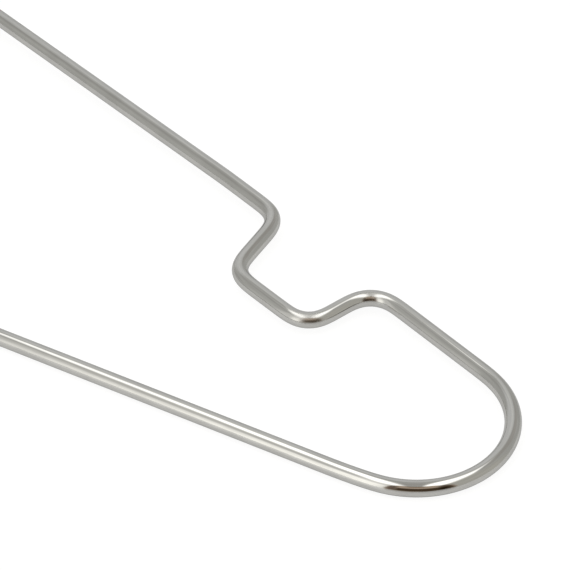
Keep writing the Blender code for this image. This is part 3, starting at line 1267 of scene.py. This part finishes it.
@dataclass(frozen=True)
class LightTent:
    """A pale light tent round the hanger: two bright roof panels, one bright side and an opening.

    The tent is a dome that the camera looks through. Its regions are laid over each other in
    order: the walls, the bright side, the roof and the opening with the dim room behind it.
    """

    radius: float = 2.5
    wall: tuple[float, float, float] = (0.552, 0.549, 0.535)
    regions: tuple[TentPatch | RoofPanel, ...] = (
        TentPatch((0.61, 0.595, 0.555), (86, 150), (-10, 62), (30, 8)),
        TentPatch((0.595, 0.592, 0.575), (-112, -80), (-10, 62), (16, 8)),
        TentPatch((0.492, 0.487, 0.473), (-76, -44), (40, 54), (14, 8)),
        TentPatch((0.522, 0.518, 0.505), (-92, -62), (5, 18), (12, 8)),
        TentPatch((0.782, 0.782, 0.788), (-46, 16), (-10, 49), (16, 14)),
        TentPatch((0.71, 0.71, 0.72), (-6, 16), (11, 25), (16, 16)),
        TentPatch((0.85, 0.848, 0.835), (-17, 4), (42.5, 51.5), (12, 6)),
        TentPatch((0.66, 0.655, 0.64), (-74, -42), (56, 64), (8, 3)),
        TentPatch((0.49, 0.475, 0.455), (22, 62), (30, 58), (12, 12)),
        TentPatch((0.475, 0.465, 0.445), (58, 74), (49, 58), (10, 6)),
        TentPatch((0.51, 0.50, 0.48), (-190, 190), (76, 100), (4, 10)),
        TentPatch((0.672, 0.667, 0.648), (-104, -94), (19, 38), (6, 10)),
        TentPatch((0.885, 0.875, 0.855), (-156, -99.2), (-10, 53), (10, 10)),
        TentPatch((1.14, 1.12, 1.095), (-162, -130), (-10, 68), (10, 6)),
        TentPatch((1.73, 1.70, 1.635), (-151, -126), (-10, 38.5), (18, 18)),
        TentPatch((0.80, 0.785, 0.755), (-122, -104), (43.5, 55), (8, 6)),
        RoofPanel(PANEL_GLOW, -1, (0.112, 0.49), (-0.47, 0.55), 0.52, 0.18, (0.12, 0.26, 0.36, 0.6), 0.06),
        RoofPanel(PANEL_GLOW, 1, (0.122, 0.465), (-0.51, 0.51), 0.26, 0.06, (0.07, 0.3, 0.4, 0.6), 0.1),
        TentPatch((1.03, 1.02, 1.00), (-117, -99.5), (57.5, 66), (10, 5)),
        TentPatch((0.61, 0.48, 0.375), (149, 202), (42, 64.5), (7, 5)),
        TentPatch((0.61, 0.48, 0.375), (141, 205.5), (-10, 44), (6, 8)),
        TentPatch((0.37, 0.31, 0.24), (141, 205.5), (-10, 12), (8, 10)),
        TentPatch((0.20, 0.165, 0.13), (143, 174), (-10, 9), (8, 8)),
        TentPatch((0.20, 0.14, 0.095), (164, 188), (55, 63.5), (8, 5)),
        TentPatch((0.21, 0.155, 0.12), (197, 205.5), (6, 55), (5, 5)),
        TentPatch((0.17, 0.13, 0.10), (143, 153.5), (6, 51), (7, 8)),
        TentPatch((0.078, 0.052, 0.030), (143, 197.5), (5, 36), (8, 12)),
        TentPatch((0.02, 0.013, 0.007), (148, 156), (6, 27), (6, 10)),
    )

    SIDES = 72
    TIERS = 18
    SKIRT = -0.05  # how far round below the floor the dome starts, in radians

    def build(self, camera: SceneObject, middle: np.ndarray) -> SceneObject:
        """Make the dome, turned so that its +Y points away from the camera.

        A point of the dome at the angle u round and v up is R * (cos v cos u, cos v sin u, sin v).

        Args:
            camera: The camera that the opening faces.
            middle: The point on the floor under the dome's middle.

        Returns:
            The dome.
        """
        sides = np.linspace(0.0, FULL_TURN, self.SIDES + 1)
        around, up = np.meshgrid(sides, np.linspace(self.SKIRT, QUARTER_TURN, self.TIERS + 1))
        on_unit_dome = (np.cos(up) * np.cos(around), np.cos(up) * np.sin(around), np.sin(up))
        points = self.radius * np.stack(on_unit_dome, axis=-1)
        rows, columns = points.shape[:2]
        corner = (np.arange(rows - 1)[:, None] * columns + np.arange(columns - 1)[None, :]).ravel()
        faces = np.stack((corner, corner + columns, corner + columns + 1, corner + 1), axis=-1)
        mesh = bpy.data.meshes.new("light_tent")
        mesh.from_pydata(points.reshape(-1, 3).tolist(), [], faces.tolist())
        mesh.materials.append(self._cloth())
        tent = in_scene("light_tent", mesh)
        back = camera.matrix_world.to_3x3().col[2]
        tent.location = (middle[0], middle[1], 0.0)
        tent.rotation_euler = (0.0, 0.0, float(np.arctan2(back[0], -back[1])))
        tent.visible_camera = False
        tent.visible_shadow = False
        return tent

    def _cloth(self) -> Material:
        """The tent's glowing inside, coloured by direction from its middle.

        Returns:
            The material.
        """
        bench = NodeBench("tent_cloth")
        directions = TentDirections.read(bench)
        colour: object = (*self.wall, 1.0)
        for region in self.regions:
            colour = bench.mix_colour(region.share(bench, directions), colour, (*region.colour, 1.0))
        return bench.finished(bench.result("ShaderNodeEmission", {"Color": colour}))


@dataclass(frozen=True)
class PaleFloor:
    """The plain floor that the hanger lies on, white to the camera with a faint shadow.

    Polished metal sees it as smooth white card, which mirrors the tent at a glancing angle, with a painted
    sheen that brightens its white there.

    Args:
        half_width: Half the floor's width, in metres.
        colour: Its own colour.
        lift: The share of the white that the camera sees over the lit floor.
        lifted_white: The brightness of that white.
        mirrored_lift: The share of a plain pale tone that polished metal sees over the lit floor.
        seen_in_metal: That tone, as linear red, green and blue.
        gloss_roughness: How blurred the card's own mirroring is.
        gloss_ior: How strongly the card mirrors at a glancing angle.
        gloss_share: The share of that mirroring that its slight texture leaves.
        painted_glancing_sheen: A painted sheen: how much brighter its white is painted at the most glancing
            angle, in mirrors.
    """

    half_width: float = 12.0
    colour: tuple[float, float, float] = (0.86, 0.86, 0.85)
    lift: float = 0.80
    lifted_white: float = 1.12
    mirrored_lift: float = 0.6
    seen_in_metal: tuple[float, float, float] = (0.875, 0.875, 0.892)
    gloss_roughness: float = 0.07
    gloss_ior: float = 1.45
    gloss_share: float = 0.87
    painted_glancing_sheen: float = 0.50

    def build(self) -> SceneObject:
        """Make the floor at the height that the hanger lies on.

        Returns:
            The floor.
        """
        w = self.half_width
        mesh = bpy.data.meshes.new("floor")
        mesh.from_pydata([(-w, -w, 0.0), (w, -w, 0.0), (w, w, 0.0), (-w, w, 0.0)], [], [(0, 1, 2, 3)])
        mesh.materials.append(self._card())
        floor = in_scene("floor", mesh)
        return floor

    def _card(self) -> Material:
        """Matt card, lifted to white for the camera, and lifted and glossed for mirrors and glass, with a
        painted sheen that brightens its white at a glancing angle in mirrors.

        Returns:
            The material.
        """
        bench = NodeBench("floor_card")
        ray = bench.node("ShaderNodeLightPath", {}).outputs
        mirrored = bench.math("MAXIMUM", ray["Is Glossy Ray"], ray["Is Transmission Ray"])
        seen_white = (self.lifted_white, self.lifted_white, self.lifted_white, 1.0)
        pale = bench.mix_colour(mirrored, seen_white, (*self.seen_in_metal, 1.0))
        fresnel = bench.result("ShaderNodeFresnel", {"IOR": self.gloss_ior})
        glancing = bench.math("MULTIPLY", fresnel, mirrored)
        # Painted sheen: in mirrors the card's white glows brighter at a glancing angle, by the Fresnel
        # share.
        strength = bench.math("MULTIPLY_ADD", glancing, self.painted_glancing_sheen, 1.0)

        card = bench.result("ShaderNodeBsdfDiffuse", {"Color": (*self.colour, 1.0)})
        white = bench.result("ShaderNodeEmission", {"Color": pale, "Strength": strength})
        lift = bench.math("MULTIPLY", ray["Is Camera Ray"], self.lift)
        lift = bench.math("MULTIPLY_ADD", mirrored, self.mirrored_lift, lift)
        lifted = bench.mix_shader(lift, card, white)
        gloss = bench.result("ShaderNodeBsdfGlossy", {"Roughness": self.gloss_roughness})
        share = bench.math("MULTIPLY", glancing, self.gloss_share)
        return bench.finished(bench.mix_shader(share, lifted, gloss))


def plain_world(brightness: float = 0.9) -> None:
    """Give the scene a plain pale world, which shows past the floor's edge in low views.

    Args:
        brightness: The world's red, green and blue alike.
    """
    world = bpy.data.worlds.new("pale_world")
    world.use_nodes = True
    colour = world.node_tree.nodes["Background"].inputs["Color"]
    colour.default_value = (brightness, brightness, brightness, 1.0)
    bpy.context.scene.world = world


def main() -> None:
    """Build every piece in order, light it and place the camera."""
    logging.basicConfig(level=logging.INFO, format="%(name)s: %(message)s")
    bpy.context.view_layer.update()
    bpy.context.scene.view_settings.view_transform = "Standard"

    shape = FrameWire()
    plane = HangerPlane.from_frame(shape.wire_radius)
    bush = NeckBush(plane, shape)
    hook = SwivelHook(bush)
    polished, turned = POLISHED_WIRE.build(), PLATED_TURNED_STEEL.build()
    braze, stamped = PLATED_BRAZE.build(), STAMPED_WASHER_STEEL.build()

    pieces = [
        shape.build(plane, bush.radius, polished),
        bush.build(turned),
        bush.braze(1.0, "braze_right", braze),
        bush.braze(-1.0, "braze_left", braze),
        hook.build_hook(polished),
        *hook.build_rings(turned, stamped),
    ]
    for piece in pieces:
        log.info("%s: %d faces", piece.name, len(piece.data.polygons))

    view = PhotoView()
    camera = view.place_camera(plane)
    LightTent().build(camera, plane.to_row(np.array((*view.aim, 0.0))))
    PaleFloor().build()
    plain_world()
    log.info("camera, light tent and floor are in place")
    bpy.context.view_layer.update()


if __name__ == "__main__":
    main()
